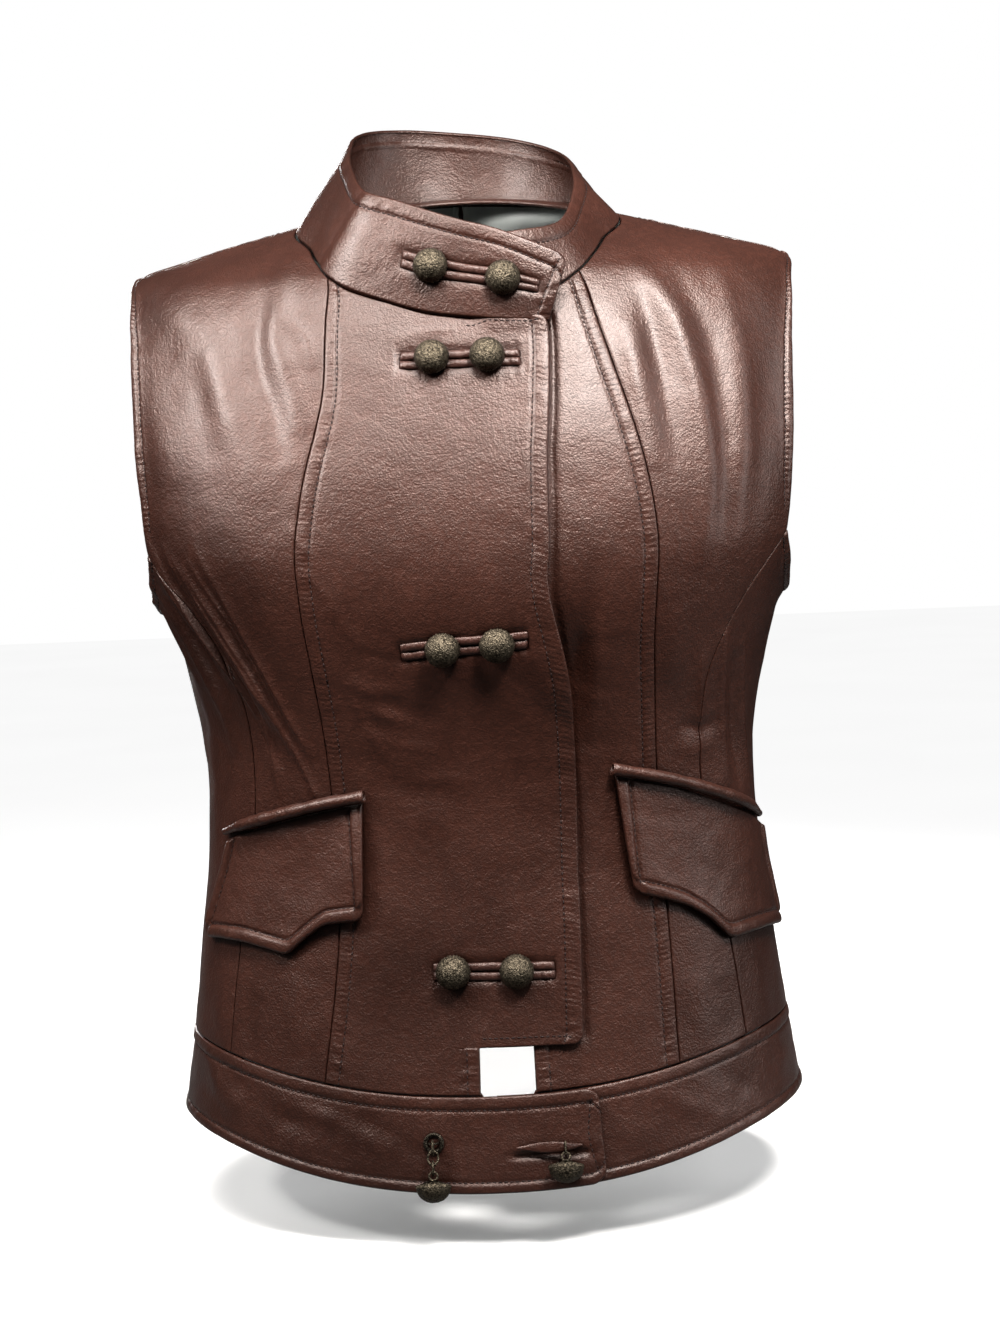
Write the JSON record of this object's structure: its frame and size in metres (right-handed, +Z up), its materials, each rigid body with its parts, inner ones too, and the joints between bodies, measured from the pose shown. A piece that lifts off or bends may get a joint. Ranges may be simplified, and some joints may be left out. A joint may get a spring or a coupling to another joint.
{
  "type": "leather vest",
  "caption": "Worn, hollow women's leather vest with a lapped placket, stand collar, pocket flaps, waistband and half-ball toggles.",
  "frame": {"origin": "where the shoulders carry it: midway between the shoulder seams at the neck", "axes": "+Z up, the front looks along -Y, the wearer's left is +X"},
  "size_m": [0.3736, 0.2557, 0.5922],
  "materials": {
    "brown_leather": "glossy oxblood-brown nappa leather",
    "piping_leather": "darker folded leather of buttonholes and loop",
    "antique_brass": "darkened, hammered antique brass"
  },
  "bodies": {
    "vest": {"front_right_centre": "brown_leather", "front_right_side": "brown_leather", "side_right": "brown_leather", "back_right": "brown_leather", "back_left": "brown_leather", "side_left": "brown_leather", "front_left_side": "brown_leather", "front_left_centre": "brown_leather", "collar": "brown_leather", "waistband": "brown_leather", "pocket_flap_right": "brown_leather", "pocket_flap_left": "brown_leather", "flap_welt_right": "brown_leather", "flap_welt_left": "brown_leather", "buttonhole_collar": "piping_leather", "buttonhole_top": "piping_leather", "buttonhole_middle": "piping_leather", "buttonhole_lower": "piping_leather", "tab_loop": "piping_leather", "dome_collar_1": "antique_brass", "dome_collar_2": "antique_brass", "dome_top_1": "antique_brass", "dome_top_2": "antique_brass", "dome_middle_1": "antique_brass", "dome_middle_2": "antique_brass", "dome_lower_1": "antique_brass", "dome_lower_2": "antique_brass", "band_eyelet": "antique_brass", "chain_staple": "antique_brass"},
    "chain": {"chain_link_1": "antique_brass", "chain_link_2": "antique_brass", "chain_link_3": "antique_brass"},
    "chain_half_ball": {"dome_chain": "antique_brass"},
    "tab_toggle": {"tab_ring": "antique_brass", "dome_tab": "antique_brass"}
  },
  "joints": [
    {"name": "chain_swing", "type": "hinge", "parent": "vest", "child": "chain", "pos_m": [-0.02996, -0.12359, -0.50504], "axis": [-1, 0, 0], "range_deg": [0, 60]},
    {"name": "chain_half_ball_swing", "type": "hinge", "parent": "chain", "child": "chain_half_ball", "pos_m": [-0.02996, -0.12936, -0.51863], "axis": [-1, 0, 0], "range_deg": [0, 45]},
    {"name": "tab_toggle_swing", "type": "hinge", "parent": "vest", "child": "tab_toggle", "pos_m": [0.04098, -0.12659, -0.50796], "axis": [-1, 0, 0], "range_deg": [0, 55]}
  ]
}
